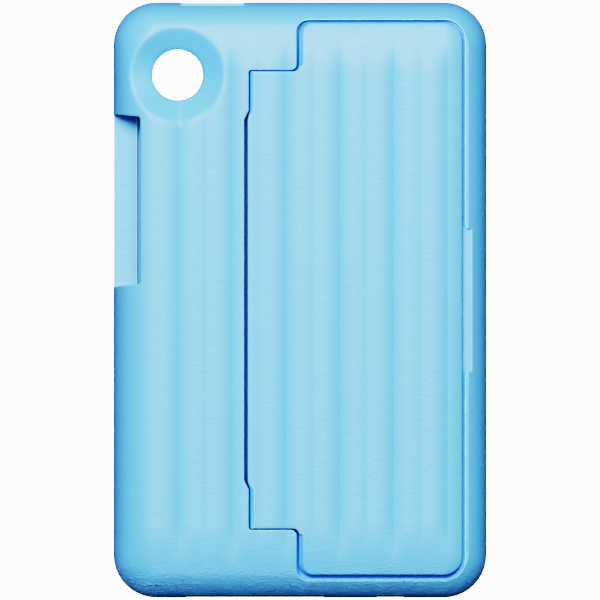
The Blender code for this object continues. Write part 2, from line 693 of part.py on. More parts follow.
def build():
    clear_scene()
    parts = new_collection("tablet_case")
    cutters = new_collection("cutters")
    steel = material("steel", STEEL, 0.35, 1.0)
    nickel = material("nickel", NICKEL, 0.25, 1.0)
    outer_shell(parts, cutters, material("soft_blue", SOFT_BLUE, 0.55))
    inner_plate(parts, cutters, material("hard_blue", PLATE_BLUE, 0.4))
    back_liner(parts, cutters, material("felt", FELT_GREY, 0.95))
    bracket_look = material("bracket_plastic", BRACKET_GREY, 0.45)
    bush_look = material("bush_plastic", BUSH_WHITE, 0.35)
    for end, side in (("top", UP), ("bottom", DOWN)):
        hinge_bracket("hinge_bracket_" + end, side, parts, cutters, bracket_look)
        friction_bush("friction_bush_" + end, side, parts, cutters, bush_look)
        hinge_pin("hinge_pin_" + end, side, parts, steel)
    bracket_screws(parts, cutters, steel)
    kickstand_cover(parts, cutters, material("soft_blue_cover", COVER_BLUE, 0.55))
    kickstand_core(parts, cutters, material("core_plastic", CORE_BLUE, 0.45))
    magnets(parts, nickel)


build()
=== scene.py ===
"""The looks of the soft tablet case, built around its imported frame.

Metres, in the frame's own axes: the case lies on its front lip, +Z points out of its back.
"""

import json
import math

import bmesh
import bpy
import numpy as np
from mathutils import Matrix, Vector, geometry


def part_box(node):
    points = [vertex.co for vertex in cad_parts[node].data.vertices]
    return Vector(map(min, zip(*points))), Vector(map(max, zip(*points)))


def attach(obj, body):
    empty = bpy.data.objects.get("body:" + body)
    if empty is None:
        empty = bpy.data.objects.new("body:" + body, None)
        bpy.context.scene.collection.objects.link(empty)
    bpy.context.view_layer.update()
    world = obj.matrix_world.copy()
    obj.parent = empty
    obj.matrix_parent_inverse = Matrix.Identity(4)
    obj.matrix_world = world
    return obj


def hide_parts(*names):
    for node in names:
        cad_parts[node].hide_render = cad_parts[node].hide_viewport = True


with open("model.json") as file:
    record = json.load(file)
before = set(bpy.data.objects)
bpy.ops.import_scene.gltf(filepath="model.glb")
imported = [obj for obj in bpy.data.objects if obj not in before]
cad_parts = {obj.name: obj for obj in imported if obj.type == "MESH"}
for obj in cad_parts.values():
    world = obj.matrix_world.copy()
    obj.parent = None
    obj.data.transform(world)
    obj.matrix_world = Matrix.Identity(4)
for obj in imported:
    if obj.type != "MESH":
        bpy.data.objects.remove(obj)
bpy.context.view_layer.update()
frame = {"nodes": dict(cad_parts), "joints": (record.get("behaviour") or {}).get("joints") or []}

MM = 0.001
SHELL_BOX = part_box("outer_shell")
COVER_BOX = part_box("kickstand_cover")
HINGE = Vector(frame["joints"][0]["pos_m"])

# The case's outside, as in its solid model
HALF_WIDTH, HALF_LENGTH = SHELL_BOX[1].x, SHELL_BOX[1].y
THICKNESS = SHELL_BOX[1].z
CORNER_RADIUS = 16.5 * MM
EDGE_HEIGHT = 6.5 * MM
FRONT_ROUND = 3.5 * MM
SIDE_ROUND, END_ROUND = 15.5 * MM, 10.0 * MM
SIDE_POWER, END_POWER = 1.6, 1.9
CROWN_RUN, CROWN_DROP = 29.0 * MM, 6.6 * MM
SKIN_UNDER_CAD = 0.03 * MM  # keeps the fine surface inside the solid's box

# Puffed ribs along the back: a main groove every pitch, and a slight dip halfway
RIB_PITCH = 20.5 * MM
RIB_GROOVE_X = -5.1 * MM  # one of the grooves
RIB_FIRST_X, RIB_LAST_X = -53.8 * MM, 56.4 * MM
RIB_CREST = 0.6  # share of the way from a groove to a dip
RIB_GROOVE_DEPTH, RIB_DIP_DEPTH = 1.5 * MM, 0.4 * MM
RIB_FADE_FROM, RIB_FADE_TO = 84.0 * MM, 103.0 * MM

# Insides of the shell: half width, half length and corner radius of each
CAVITY = (62.55 * MM, 105.7 * MM, 6.0 * MM)
SCREEN = (59.35 * MM, 102.2 * MM, 7.0 * MM)
PLATE_GROOVE = (65.7 * MM, 108.1 * MM, 8.0 * MM)
LIP_THICKNESS = 2.8 * MM
PLATE_LOW, PLATE_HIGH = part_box("inner_plate")[0].z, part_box("inner_plate")[1].z
FLOOR_TOP, TROUGH_TOP, TROUGH_RIGHT = 15.8 * MM, 14.7 * MM, -12.0 * MM
UNDERSIDE = COVER_BOX[0].z
GAP = 0.3 * MM

# Camera opening
CAMERA = Vector((-46.85 * MM, 86.15 * MM))
CAMERA_RADIUS, DISH_RADIUS, DISH_LOW = 9.65 * MM, 18.0 * MM, 15.0 * MM
DISH_SOFTENING = 0.5 * MM  # of the dish's rim
BORE_EDGE_DROP, BORE_EDGE_RUN = 0.55 * MM, 0.25 * MM
DISH_STEPS = (0.0, 0.02, 0.08, 0.2, 0.4, 0.8, 2.0, 4.0, 6.0, 7.0, 7.5, 7.9,
              8.2, 8.5, 8.9, 9.4, 10.0, 10.8)  # millimetres out from the bore

# Openings in the wall
PORT_LOW, PORT_HIGH = 4.8 * MM, 10.9 * MM
BUTTON_NOTCH, BUTTON_LOW = (6.2 * MM, 70.0 * MM), 5.2 * MM
BUTTON_DEPTH, BUTTON_FLARE, BUTTON_CORNER = 10.5 * MM, 1.2 * MM, 1.2 * MM
TOP_PORT = (-44.6 * MM, -22.7 * MM)
BOTTOM_PORT_LONG = (-41.5 * MM, 8.0 * MM)
BOTTOM_PORT_SHORT = (30.0 * MM, 39.2 * MM)
PORT_FLARE = 1.5 * MM
FINGER_NOTCH = (-27.2 * MM, 27.0 * MM)
NOTCH_RADIUS = 2.3 * MM

# Kickstand outline
PANEL_LEFT, PANEL_RIGHT = -0.3 * MM, COVER_BOX[1].x
PANEL_LOW, PANEL_HIGH = COVER_BOX[0].y, COVER_BOX[1].y - 0.45 * MM
PANEL_LEFT_RADIUS, PANEL_RIGHT_RADIUS = 4.6 * MM, 7.0 * MM
TAB_LEFT, TAB_STEP = -19.2 * MM, 0.8 * MM
TAB_HALF_LENGTH = 87.35 * MM
TAB_CORNER, TAB_FILLET = 1.0 * MM, 2.4 * MM
TAB_STEP_AT = (68.8 * MM, 72.4 * MM)

# Rigid core, hinge barrel and pins, as far as the cover makes room for them
CORE_INSET, CORE_CORNER, CORE_LEFT = 1.5 * MM, 9.0 * MM, -17.2 * MM
CORE_TAB_END = 86.25 * MM
CORE_HIGH = UNDERSIDE + 1.5 * MM
BARREL_RADIUS, BARREL_HALF_LENGTH, BARREL_GAP = 2.0 * MM, 86.2 * MM, 0.1 * MM
PIN_HOLE_RADIUS = 1.35 * MM
NOSE_RELIEF = [  # section cut from under the tab's left edge, from the hinge's axis
    (-5.0 * MM, -5.0 * MM), (0.2 * MM, -5.0 * MM), (-1.4 * MM, -2.7 * MM),
    (-2.9 * MM, -0.6 * MM), (-3.7 * MM, 0.4 * MM), (-5.0 * MM, 0.4 * MM),
]
SWING_GAP = 0.1 * MM
SWING_TOP_ANGLE, SWING_STEPS = math.radians(97), 16
SWING_SHOULDER = 0.2  # share of the reach at which the swing's cutter turns up

# Recess round the kickstand, and the shallow step outside it on the right and at the low end
PANEL_GAP, RECESS_RIGHT_GAP, RECESS_LOW_GAP = 0.95 * MM, 0.9 * MM, 1.85 * MM
TAB_GAP, TAB_STEP_GAP = 0.35 * MM, 1.3 * MM
RECESS_CORNER = 7.6 * MM
LEDGE_OUT, LEDGE_LOW_OUT = 1.95 * MM, 2.15 * MM
LEDGE_DEPTH, LEDGE_LOW_DEPTH = 0.45 * MM, 0.9 * MM
LEDGE_CORNER = 10.5 * MM
LEDGE_SLOPE = 0.3  # share of its depth that the step's wall leans out

# Edges that round over where a cut meets the back
RIM_FILLET, PANEL_SIDE_FILLET = 0.55 * MM, 1.7 * MM
RIM_STEPS = 6
RIM_OVERRUN = 0.05  # share of its fillet that a cutter stands proud of the back
LEAST_RISE = 0.01 * MM

# How finely the surfaces are divided
ROWS = 150
COLUMN_SPACING = 0.7 * MM
OUTLINE_SPACING = 1.2 * MM
ROUND_RINGS, FRONT_RINGS = 40, 8
ARC_STEPS = 10
DISH_SIDES, ROD_SIDES = 120, 48
HALVINGS = 30  # of the range that the rounding's rise is searched in
BEYOND = 5.0 * MM  # how far cutters run past what they cut
SMOOTH_ANGLE = math.radians(38)
ALIGNED = 0.001 * MM

# Looks of the soft plastic: textures by scale, bumps by strength and depth; painted shade and painted
# highlight by reach, range and colour
SKIN_BLUE = (0.125, 0.45, 0.92)
MOTTLE_SCALE, MOTTLE_SHARES = 60.0, (0.96, 1.03)
GRAIN_STRETCH = (0.45, 1.0, 0.45)
GRAIN_SCALE, CREASE_SCALE, FOLD_SCALE = 900.0, 380.0, 650.0
GRAIN_STRENGTH, GRAIN_DEPTH = 0.2, 0.25 * MM
WRINKLE_STRENGTH, WRINKLE_DEPTH = 0.65, 2.0 * MM
WRINKLES_FROM, WRINKLES_TO = -99.0 * MM, -107.0 * MM  # only towards the low end
SKIN_ROUGHNESS, CREVICE_DULLING = (0.56, 0.66), 0.45
# painted shade: crevices, gaps and recesses that are closed in get a deeper blue colour
CREVICE_REACH, CREVICE_RANGE = 5.5 * MM, (0.15, 0.55)
CREVICE_SHADE_COLOUR = (0.003, 0.19, 0.9)
# painted shade: the hinge trough's level gets the darkest colour
TROUGH_SHADE_RANGE, TROUGH_SHADE_COLOUR = (0.2 * MM, 1.0 * MM), (0.0, 0.01, 0.19)
# painted shade: the colour is darkened on steep faces, standing in for the light falling off towards the
# sides
STEEP_SHADE_RANGE, STEEP_SHADE_SHARES = (0.15, 0.75), (0.35, 0.36, 0.56)
# painted highlight: convex edges get a paler colour, as if they caught the light
EDGE_HIGHLIGHT_REACH, EDGE_HIGHLIGHT_RANGE, EDGE_HIGHLIGHT_COLOUR = 0.5 * MM, (0.6, 0.99), (0.3, 0.85, 1.0)
OPENNESS_SAMPLES = 8

# Looks of the hard parts
HARD_MOTTLE_SHARES, HARD_GLOSS_SHARES = (0.88, 1.1), (0.85, 1.2)
MARK_SCALE, MARK_STRENGTH, MARK_DEPTH = 300.0, 0.15, 0.1 * MM
CLOUD_SCALE = 75.0

# The set
FLOOR_SIZE, FLOOR_DROP, FLOOR_COLOUR = 24.0, 0.2 * MM, (0.07, 0.077, 0.09)
WHITE_OUT = 6.0  # brightness at which the floor and backdrop read as white
DOME_LOW, DOME_HIGH, DOME_FROM = (0.01, 0.02, 0.04), (0.07, 0.11, 0.18), 0.3
LENS, SENSOR_WIDTH, VIEW_LIMIT = 500.0, 36.0, 50.0
VIEW_MARGIN = 1.00756  # the view's width against the case's length


# ----------------------------------------------------------------- the surface

def crown(y):
    """How far the ends of the back have sunk at y."""
    into = np.maximum(0.0, np.abs(y) - (HALF_LENGTH - CROWN_RUN))
    return CROWN_DROP * (into / CROWN_RUN) ** 2


def round_insets(rise):
    """How far in from the sides and from the ends the back's rounding is at a share of its rise."""
    side = (1 - rise ** SIDE_POWER) ** (1 / SIDE_POWER)
    end = (1 - rise ** END_POWER) ** (1 / END_POWER)
    return SIDE_ROUND * (1 - side), END_ROUND * (1 - end)


def round_rise(x, y):
    """Share of the rounding's rise at points: 1 on the flat of the back, 0 at its edge."""
    beyond_x = np.maximum(0.0, np.abs(x) - (HALF_WIDTH - CORNER_RADIUS))
    beyond_y = np.maximum(0.0, np.abs(y) - (HALF_LENGTH - CORNER_RADIUS))
    low, high = np.zeros_like(beyond_x), np.ones_like(beyond_x)
    for _ in range(HALVINGS):
        rise = (low + high) / 2
        inset_x, inset_y = round_insets(rise)
        reach_x, reach_y = CORNER_RADIUS - inset_x, CORNER_RADIUS - inset_y
        outside = (beyond_x / reach_x) ** 2 + (beyond_y / reach_y) ** 2 > 1
        high = np.where(outside, rise, high)
        low = np.where(outside, low, rise)
    return (low + high) / 2


def rib_depth(x):
    """How far below its crest the ribbed back lies at x."""
    x = np.clip(x, RIB_FIRST_X, RIB_LAST_X)
    from_groove = np.abs((x - RIB_GROOVE_X + RIB_PITCH / 2) % RIB_PITCH - RIB_PITCH / 2)
    place = from_groove / (RIB_PITCH / 2)
    towards_groove = np.maximum(0.0, 1 - place / RIB_CREST)
    towards_dip = np.maximum(0.0, (place - RIB_CREST) / (1 - RIB_CREST))
    return RIB_GROOVE_DEPTH * towards_groove ** 2 + RIB_DIP_DEPTH * towards_dip ** 2


def back_height(x, y, rise=None):
    """Height of the ribbed, pillow-like back at points."""
    x, y = np.asarray(x, float), np.asarray(y, float)
    if rise is None:
        rise = round_rise(x, y)
    fade = np.clip((RIB_FADE_TO - np.abs(y)) / (RIB_FADE_TO - RIB_FADE_FROM), 0, 1)
    fade = fade * fade * (3 - 2 * fade)
    top = THICKNESS - SKIN_UNDER_CAD - EDGE_HEIGHT - crown(y)
    return EDGE_HEIGHT + rise * (top - fade * rib_depth(x))


def on_back(flat, above=0.0):
    """Points of a plan, raised to the back's height and a little above or below it."""
    return np.column_stack([flat, back_height(flat[:, 0], flat[:, 1]) + above])


def at_level(flat, z):
    return np.column_stack([flat, np.full(len(flat), z)])


def column_shares():
    """Shares of the way across the back, left to right, with one at every groove and dip."""
    half = HALF_WIDTH - SIDE_ROUND
    creases = RIB_GROOVE_X + RIB_PITCH / 2 * np.arange(-20, 20)
    creases = creases[np.abs(creases) < half - COLUMN_SPACING]
    stops = np.concatenate([[-half], creases, [half]])
    places = [np.linspace(low, high, 2 + round((high - low) / COLUMN_SPACING))[:-1]
              for low, high in zip(stops, stops[1:])]
    return (np.concatenate([*places, [half]]) / half + 1) / 2


def loop_of(inset_x, inset_y, shares):
    """A loop round the case, clockwise from its upper right, and how many points a side has."""
    centre_x, centre_y = HALF_WIDTH - CORNER_RADIUS, HALF_LENGTH - CORNER_RADIUS
    radius_x, radius_y = CORNER_RADIUS - inset_x, CORNER_RADIUS - inset_y
    angle = np.linspace(0, math.pi / 2, ARC_STEPS + 1)
    corner = np.stack([centre_x + radius_x * np.sin(angle), centre_y + radius_y * np.cos(angle)], 1)
    straight = np.linspace(centre_y, -centre_y, ROWS)[1:-1]
    side = np.stack([np.full_like(straight, centre_x + radius_x), straight], 1)
    right = np.vstack([corner, side, corner[::-1] * (1, -1)])
    across = (2 * centre_x * shares - centre_x)[::-1][1:-1]
    low_end = np.stack([across, np.full_like(across, -centre_y - radius_y)], 1)
    left = right[::-1] * (-1, 1)
    high_end = low_end[::-1] * (1, -1)
    return np.vstack([right, low_end, left, high_end]), len(right)


def pillow_rings(shares):
    """Rings up the case's outside, from its front to the flat of its back."""
    rings = []
    for step in range(FRONT_RINGS):
        angle = math.pi / 2 * step / FRONT_RINGS
        inset = FRONT_ROUND * (1 - math.sin(angle))
        ring, side_count = loop_of(inset, inset, shares)
        rings.append(at_level(ring, EDGE_HEIGHT * (1 - math.cos(angle))))
    for step in range(ROUND_RINGS + 1):
        rise = math.sin(math.pi / 2 * step / ROUND_RINGS) ** (2 / SIDE_POWER)
        ring, side_count = loop_of(*round_insets(rise), shares)
        height = back_height(ring[:, 0], ring[:, 1], np.full(len(ring), rise))
        rings.append(np.column_stack([ring, height]))
    return rings, side_count


def back_grid(top, side_count, shares, first, base):
    """Point numbers of a grid across the flat of the back, and the points inside the last ring.

    The last ring is top, whose points are numbered from first. Those inside it, from base.
    """
    count, inner = len(top), len(shares) - 2
    grid, extra = np.zeros((side_count, inner + 2), int), []
    for row in range(side_count):
        grid[row, 0], grid[row, -1] = first + row, first + count - inner - 1 - row
        if row == 0:
            grid[row, 1:-1] = first + np.arange(count - 1, count - 1 - inner, -1)
        elif row == side_count - 1:
            grid[row, 1:-1] = first + np.arange(side_count, side_count + inner)
        else:
            x = top[row, 0] * (2 * shares[::-1][1:-1] - 1)
            y = np.full(inner, top[row, 1])
            grid[row, 1:-1] = base + np.arange(len(extra) * inner, (len(extra) + 1) * inner)
            extra.append(np.column_stack([x, y, back_height(x, y, np.ones(inner))]))
    return grid, extra


def pillow(name):
    """The case's ribbed outside as one closed mesh."""
    shares = column_shares()
    rings, side_count = pillow_rings(shares)
    count = len(rings[0])
    faces = [face[::-1] for face in bands(len(rings), count)]
    grid, extra = back_grid(rings[-1], side_count, shares, (len(rings) - 1) * count, len(rings) * count)
    for row in range(grid.shape[0] - 1):
        for column in range(grid.shape[1] - 1):
            faces.append((grid[row, column], grid[row + 1, column],
                          grid[row + 1, column + 1], grid[row, column + 1])[::-1])
    faces.append(range(count))
    return solid(name, rings + extra, faces)


# ---------------------------------------------------------------- mesh helpers

def bands(levels, count):
    """Faces between one ring of points and the next."""
    faces = []
    for level in range(levels - 1):
        for index in range(count):
            after = (index + 1) % count
            faces.append((level * count + index, level * count + after,
                          (level + 1) * count + after, (level + 1) * count + index))
    return faces


def solid(name, points, faces):
    """An object from arrays of points and faces, with its normals turned outward."""
    mesh = bpy.data.meshes.new(name)
    mesh.from_pydata(np.vstack(points), [], [tuple(int(index) for index in face) for face in faces])
    made = bpy.data.objects.new(name, mesh)
    bpy.context.scene.collection.objects.link(made)
    shape = bmesh.new()
    shape.from_mesh(mesh)
    bmesh.ops.recalc_face_normals(shape, faces=shape.faces)
    shape.to_mesh(mesh)
    shape.free()
    return made


def rounded(corners):
    """Points of a closed outline whose corners (x, y, radius) are arcs tangent to both sides."""
    points = []
    for index, (x, y, radius) in enumerate(corners):
        corner = Vector((x, y))
        if radius == 0:
            points.append(corner)
            continue
        back = (Vector(corners[index - 1][:2]) - corner).normalized()
        ahead = (Vector(corners[(index + 1) % len(corners)][:2]) - corner).normalized()
        half = back.angle(ahead) / 2
        centre = corner + (back + ahead).normalized() * (radius / math.sin(half))
        start = corner + back * (radius / math.tan(half)) - centre
        turn = start.angle_signed(corner + ahead * (radius / math.tan(half)) - centre)
        for step in range(ARC_STEPS + 1):
            spun = start.copy()
            spun.rotate(Matrix.Rotation(-turn * step / ARC_STEPS, 2))
            points.append(centre + spun)
    return points


def rectangle(half_x, half_y, radius):
    return rounded([(-half_x, -half_y, radius), (half_x, -half_y, radius),
                    (half_x, half_y, radius), (-half_x, half_y, radius)])


def circle(centre, radius, sides):
    angle = np.linspace(0, 2 * math.pi, sides, endpoint=False)
    return np.stack([centre[0] + radius * np.cos(angle), centre[1] + radius * np.sin(angle)], 1)


def resampled(outline):
    """The outline with long stretches split, so that it can follow the back's height."""
    points = []
    for index, point in enumerate(outline):
        after = outline[(index + 1) % len(outline)]
        parts = max(1, round((after - point).length / OUTLINE_SPACING))
        points += [point.lerp(after, part / parts) for part in range(parts)]
    return np.array([tuple(point) for point in points])


def outward(outline):
    """Normals of a closed outline, pointing out of it, longer at corners so that offsets keep parallel."""
    before, after = np.roll(outline, 1, 0), np.roll(outline, -1, 0)
    first, second = outline - before, after - outline
    first = first / np.linalg.norm(first, axis=1)[:, None]
    second = second / np.linalg.norm(second, axis=1)[:, None]
    along = first + second
    along /= np.linalg.norm(along, axis=1)[:, None]
    area = np.sum(outline[:, 0] * after[:, 1] - after[:, 0] * outline[:, 1])
    normal = np.stack([along[:, 1], -along[:, 0]], 1) * np.sign(area)
    stretch = 1 / np.maximum(0.5, np.sum(along * first, axis=1))
    return normal * stretch[:, None]


def lofted(name, rings):
    """A closed solid through rings of (x, y, z) points, capped at both ends."""
    count = len(rings[0])
    faces = bands(len(rings), count)
    for level in (0, len(rings) - 1):
        flat = [Vector(point) for point in rings[level]]
        for triangle in geometry.tessellate_polygon([flat]):
            faces.append(tuple(level * count + corner for corner in triangle))
    return solid(name, rings, faces)


def prism(name, outline, low, high):
    """A solid whose plan is given, from low to high along Z."""
    flat = np.array([tuple(point) for point in outline])
    return lofted(name, [at_level(flat, z) for z in (low, high)])


def along_y(name, section, low, high):
    """A solid whose section is given in x and z, from low to high along Y."""
    flat = np.array([tuple(point) for point in section])
    rings = [np.column_stack([flat[:, 0], np.full(len(flat), y), flat[:, 1]]) for y in (low, high)]
    return lofted(name, rings)


def rim_solid(name, outline, low, spread, side_fillet=RIM_FILLET):
    """A solid with upright sides whose upper edge rounds over where it meets the back.

    spread is 1 for a cutter, whose sides flare out to leave a rounded rim, and -1 for a
    keeper, whose sides draw in to leave a rounded edge. side_fillet cuts the panel's left
    side back further, in a straight slope.
    """
    flat = resampled(outline)
    normal = outward(flat)
    sloped = np.clip(-normal[:, 0], 0, 1) * (np.abs(flat[:, 1]) > TAB_HALF_LENGTH + TAB_FILLET)
    sloped = sloped * (side_fillet > RIM_FILLET)
    fillet = RIM_FILLET + (side_fillet - RIM_FILLET) * sloped
    rings = [at_level(flat, low)]
    for step in range(RIM_STEPS):
        share = step / RIM_STEPS
        angle = math.pi / 2 * share
        across = (1 - sloped) * (1 - math.cos(angle)) + sloped * share
        below = (1 - sloped) * (1 - math.sin(angle)) + sloped * (1 - share)
        ring = on_back(flat + normal * spread * (fillet * across)[:, None], -fillet * below)
        ring[:, 2] = np.maximum(ring[:, 2], low + (step + 1) * LEAST_RISE)
        rings.append(ring)
    moved = flat + normal * spread * fillet[:, None]
    ring = on_back(moved, RIM_OVERRUN * fillet)
    ring[:, 2] = np.maximum(ring[:, 2], low + (RIM_STEPS + 2) * LEAST_RISE)
    return lofted(name, [*rings, ring, at_level(moved, THICKNESS + BEYOND)])


def combined(target, tools, operation):
    """Apply one Boolean after another and drop the tools."""
    for tool in tools:
        step = target.modifiers.new("shape", "BOOLEAN")
        step.operation = operation
        step.object = tool
        step.solver = "MANIFOLD"
    bpy.context.view_layer.update()
    graph = bpy.context.evaluated_depsgraph_get()
    made = bpy.data.meshes.new_from_object(target.evaluated_get(graph))
    target.modifiers.clear()
    target.data = made
    for tool in tools:
        bpy.data.objects.remove(tool, do_unlink=True)


def smooth(piece):
    """Smooth shading, but crisp at sharp edges and along the bottom of each groove and dip."""
    mesh = piece.data
    mesh.shade_smooth()
    mesh.set_sharp_from_angle(angle=SMOOTH_ANGLE)
    points = np.empty(len(mesh.vertices) * 3)
    mesh.vertices.foreach_get("co", points)
    ends = np.empty(len(mesh.edges) * 2, int)
    mesh.edges.foreach_get("vertices", ends)
    edges = points.reshape(-1, 3)[ends.reshape(-1, 2)]
    x, height = edges[:, :, 0], edges[:, :, 2]
    off = np.abs((x - RIB_GROOVE_X + RIB_PITCH / 4) % (RIB_PITCH / 2) - RIB_PITCH / 4)
    crease = (off.max(axis=1) < ALIGNED) & (np.abs(x[:, 1] - x[:, 0]) < ALIGNED)
    crease &= height.min(axis=1) > FLOOR_TOP + GAP
    sharp = np.empty(len(mesh.edges), bool)
    layer = mesh.attributes["sharp_edge"].data
    layer.foreach_get("value", sharp)
    layer.foreach_set("value", sharp | crease)


def dress(piece, look, body, node):
    """Material, body, material slot, and the CAD node that a piece stands for."""
    piece.data.materials.clear()
    piece.data.materials.append(look)
    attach(piece, body)
    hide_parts(node)


# ------------------------------------------------------------ kickstand outline

def kickstand_outline(grow=0.0, right=0.0, low=0.0, tab=0.0, step=0.0,
                      notch=(), corner=PANEL_RIGHT_RADIUS):
    """Plan of the kickstand, or of its recess where grown.

    The panel grows by grow, or more on the right or at the low end, and the tab by tab, or
    more by step along its middle. A notch is let into the right side.
    """
    left_edge = PANEL_LEFT - grow
    right_edge = PANEL_RIGHT + max(grow, right)
    low_edge, high_edge = PANEL_LOW - max(grow, low), PANEL_HIGH + grow
    tab_end, tab_left = TAB_HALF_LENGTH + tab, TAB_LEFT - tab
    step_left = TAB_LEFT - TAB_STEP - max(tab, step)
    inner, outer = TAB_STEP_AT
    outside = HALF_WIDTH + BEYOND
    let_in = []
    if notch:
        let_in = [(right_edge, notch[0], NOTCH_RADIUS), (outside, notch[0], 0),
                  (outside, notch[1], 0), (right_edge, notch[1], NOTCH_RADIUS)]
    return rounded([
        (left_edge, low_edge, PANEL_LEFT_RADIUS), (right_edge, low_edge, corner), *let_in,
        (right_edge, high_edge, corner), (left_edge, high_edge, PANEL_LEFT_RADIUS),
        (left_edge, tab_end, TAB_FILLET), (tab_left, tab_end, TAB_CORNER),
        (tab_left, outer, 0), (step_left, inner, 0), (step_left, -inner, 0), (tab_left, -outer, 0),
        (tab_left, -tab_end, TAB_CORNER), (left_edge, -tab_end, TAB_FILLET),
    ])


def core_outline(grow):
    inset = CORE_INSET - grow
    tab_end = CORE_TAB_END + grow
    left, right = PANEL_LEFT + inset, PANEL_RIGHT - inset
    low, high = PANEL_LOW + inset, COVER_BOX[1].y - inset
    return rounded([
        (left, low, PANEL_LEFT_RADIUS), (right, low, CORE_CORNER),
        (right, high, CORE_CORNER), (left, high, PANEL_LEFT_RADIUS),
        (left, tab_end, 0), (CORE_LEFT - grow, tab_end, 0),
        (CORE_LEFT - grow, -tab_end, 0), (left, -tab_end, 0),
    ])


# ----------------------------------------------------------------- outer shell

def dish():
    """Cutter of the camera opening: a straight bore, a soft inner edge, a dish and its soft rim."""
    rim = circle(CAMERA, DISH_RADIUS, DISH_SIDES)
    rim_height = back_height(rim[:, 0], rim[:, 1])
    run = DISH_RADIUS - CAMERA_RADIUS
    rings = [at_level(circle(CAMERA, CAMERA_RADIUS, DISH_SIDES), PLATE_HIGH - BEYOND)]
    for out in np.array(DISH_STEPS) * MM:
        flat = circle(CAMERA, CAMERA_RADIUS + out, DISH_SIDES)
        slope = DISH_LOW + (rim_height - DISH_LOW) * out / run
        surface = back_height(flat[:, 0], flat[:, 1])
        lower = -DISH_SOFTENING * np.logaddexp(-slope / DISH_SOFTENING, -surface / DISH_SOFTENING)
        edge = BORE_EDGE_DROP * math.exp(-out / BORE_EDGE_RUN)
        rings.append(np.column_stack([flat, lower - edge]))
    return lofted("dish", [*rings, at_level(flat, THICKNESS + BEYOND)])


def flared_port(span, end, low_flare, high_flare):
    """Cutter through the wall of the high end (1) or the low end (-1), wider towards the outside."""
    inner, outer = end * (CAVITY[1] - BEYOND), end * (HALF_LENGTH + BEYOND)
    outline = [(span[0], inner), (span[1], inner), (span[1] + high_flare, outer),
               (span[0] - low_flare, outer)]
    return prism("port", outline, PORT_LOW, PORT_HIGH)


def button_notch():
    inner, outer = -HALF_WIDTH + BUTTON_DEPTH, -HALF_WIDTH - BEYOND
    flare = BUTTON_FLARE * (1 + BEYOND / BUTTON_DEPTH)
    outline = rounded([
        (outer, BUTTON_NOTCH[0] - flare, 0), (inner, BUTTON_NOTCH[0], BUTTON_CORNER),
        (inner, BUTTON_NOTCH[1], BUTTON_CORNER), (outer, BUTTON_NOTCH[1] + flare, 0),
    ])
    return rim_solid("button_notch", outline, BUTTON_LOW, 1)


def hinge_trough():
    left, inner = TAB_LEFT - TAB_GAP, TAB_STEP_AT[0]
    step_left, end = TAB_LEFT - TAB_STEP - TAB_STEP_GAP, TAB_HALF_LENGTH + TAB_GAP
    outline = [(left, -end), (TROUGH_RIGHT, -end), (TROUGH_RIGHT, end), (left, end),
               (left, TAB_STEP_AT[1]), (step_left, inner), (step_left, -inner), (left, -TAB_STEP_AT[1])]
    return prism("trough", outline, TROUGH_TOP, FLOOR_TOP + GAP)


def recess():
    outline = kickstand_outline(PANEL_GAP, RECESS_RIGHT_GAP, RECESS_LOW_GAP, TAB_GAP, TAB_STEP_GAP,
                                FINGER_NOTCH, RECESS_CORNER)
    return rim_solid("recess", outline, FLOOR_TOP, 1)


def recess_ledge():
    """Cutter of the shallow step round the recess's right side and low end."""
    flat = resampled(kickstand_outline(PANEL_GAP, LEDGE_OUT, LEDGE_LOW_OUT, TAB_GAP, TAB_STEP_GAP,
                                       corner=LEDGE_CORNER))
    normal = outward(flat)
    depth = LEDGE_DEPTH + (LEDGE_LOW_DEPTH - LEDGE_DEPTH) * np.clip(-normal[:, 1], 0, 1)
    leaning = flat + normal * (LEDGE_SLOPE * depth)[:, None]
    return lofted("ledge", [on_back(flat, -depth), on_back(leaning),
                            at_level(leaning, THICKNESS + BEYOND)])


def build_shell(look):
    shell = pillow("case_shell")
    tools = [
        prism("screen", rectangle(*SCREEN), -BEYOND, LIP_THICKNESS + GAP),
        prism("cavity", rectangle(*CAVITY), LIP_THICKNESS, PLATE_LOW),
        prism("plate_groove", rectangle(*PLATE_GROOVE), PLATE_LOW - GAP, PLATE_HIGH + GAP),
        dish(),
        button_notch(),
        flared_port(TOP_PORT, 1, PORT_FLARE, PORT_FLARE),
        flared_port(BOTTOM_PORT_LONG, -1, 2 * PORT_FLARE, PORT_FLARE),
        flared_port(BOTTOM_PORT_SHORT, -1, PORT_FLARE / 2, PORT_FLARE / 2),
        recess(),
        recess_ledge(),
        hinge_trough(),
    ]
    combined(shell, tools, "DIFFERENCE")
    smooth(shell)
    dress(shell, look, "shell", "outer_shell")


# ------------------------------------------------------------------- kickstand

def swing_clearance():
    """Cutter that keeps the tab's left edge within reach of the hinge, so that it clears the recess."""
    wall, step_wall = TAB_LEFT - TAB_GAP, TAB_LEFT - TAB_STEP - TAB_STEP_GAP
    end, (inner, outer) = HALF_LENGTH, TAB_STEP_AT
    angle = np.linspace(math.pi, SWING_TOP_ANGLE, SWING_STEPS)
    rings = []
    for y, left in ((-end, wall), (-outer, wall), (-inner, step_wall),
                    (inner, step_wall), (outer, wall), (end, wall)):
        reach = HINGE.x - left - SWING_GAP
        far = reach + BEYOND
        x = np.concatenate([reach * np.cos(angle), [-SWING_SHOULDER * reach, -far, -far]])
        z = np.concatenate([reach * np.sin(angle), [far, far, 0.0]])
        rings.append(np.column_stack([HINGE.x + x, np.full(len(x), y), HINGE.z + z]))
    return lofted("swing", rings)


def hinge_rod(radius, half_length):
    section = circle((HINGE.x, HINGE.z), radius, ROD_SIDES)
    return along_y("rod", section, -half_length, half_length)


